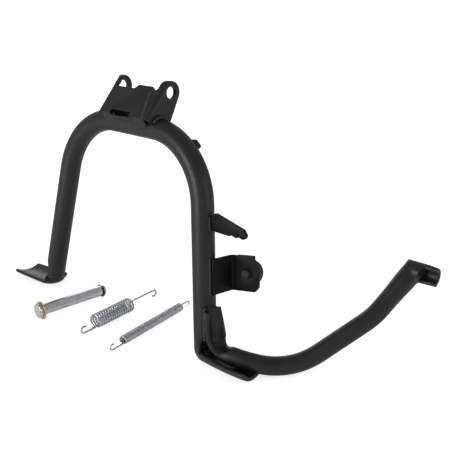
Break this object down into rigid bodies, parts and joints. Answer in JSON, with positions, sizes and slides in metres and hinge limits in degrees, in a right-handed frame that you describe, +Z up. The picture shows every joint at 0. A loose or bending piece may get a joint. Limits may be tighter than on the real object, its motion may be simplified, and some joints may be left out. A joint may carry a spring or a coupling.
{
  "type": "motorcycle centre stand",
  "caption": "Bent tube arch with pressed feet, a foot lever, a pivot bracket with a cross bore, a spring lug and a rubber stop, with its pivot pin and return springs laid loose.",
  "frame": {"origin": "middle of the pivot axis, between the bracket's two ears", "axes": "+X along the pivot axis towards the foot lever, +Y to the vehicle's rear, +Z up, with the feet on the ground"},
  "size_m": [0.4793, 0.2024, 0.2588],
  "materials": {
    "arch_tube": "satin black paint",
    "lever_tube": "satin black paint",
    "pivot_bracket_left": "satin black paint",
    "pivot_bracket_right": "satin black paint",
    "weld_bracket_seam": "black paint over a rough weld",
    "weld_bracket_left": "black paint over a rough weld",
    "weld_bracket_right": "black paint over a rough weld",
    "weld_web_left": "black paint over a rough weld",
    "weld_web_right": "black paint over a rough weld",
    "spring_lug": "satin black paint",
    "weld_lug_front": "black paint over a rough weld",
    "weld_lug_rear": "black paint over a rough weld",
    "bumper_bracket": "satin black paint",
    "weld_bumper_bracket": "black paint over a rough weld",
    "bumper_rubber": "matt black rubber",
    "weld_saddle_front": "black paint over a rough weld",
    "weld_saddle_rear": "black paint over a rough weld",
    "stop_tab": "satin black paint",
    "weld_stop_tab": "black paint over a rough weld",
    "pivot_pin": "bright zinc plate",
    "pin_washer": "yellow zinc plate",
    "pin_clip": "black oxide",
    "large_spring": "bright spring wire",
    "small_spring": "bright spring wire"
  },
  "bodies": {
    "root": {"arch_tube": "arch_tube", "lever_tube": "lever_tube", "pivot_bracket_left": "pivot_bracket_left", "pivot_bracket_right": "pivot_bracket_right", "weld_bracket_seam": "weld_bracket_seam", "weld_bracket_left": "weld_bracket_left", "weld_bracket_right": "weld_bracket_right", "weld_web_left": "weld_web_left", "weld_web_right": "weld_web_right", "spring_lug": "spring_lug", "weld_lug_front": "weld_lug_front", "weld_lug_rear": "weld_lug_rear", "bumper_bracket": "bumper_bracket", "weld_bumper_bracket": "weld_bumper_bracket", "bumper_rubber": "bumper_rubber", "weld_saddle_front": "weld_saddle_front", "weld_saddle_rear": "weld_saddle_rear", "stop_tab": "stop_tab", "weld_stop_tab": "weld_stop_tab", "pivot_pin": "pivot_pin", "pin_washer": "pin_washer", "pin_clip": "pin_clip", "large_spring": "large_spring", "small_spring": "small_spring"}
  },
  "joints": []
}
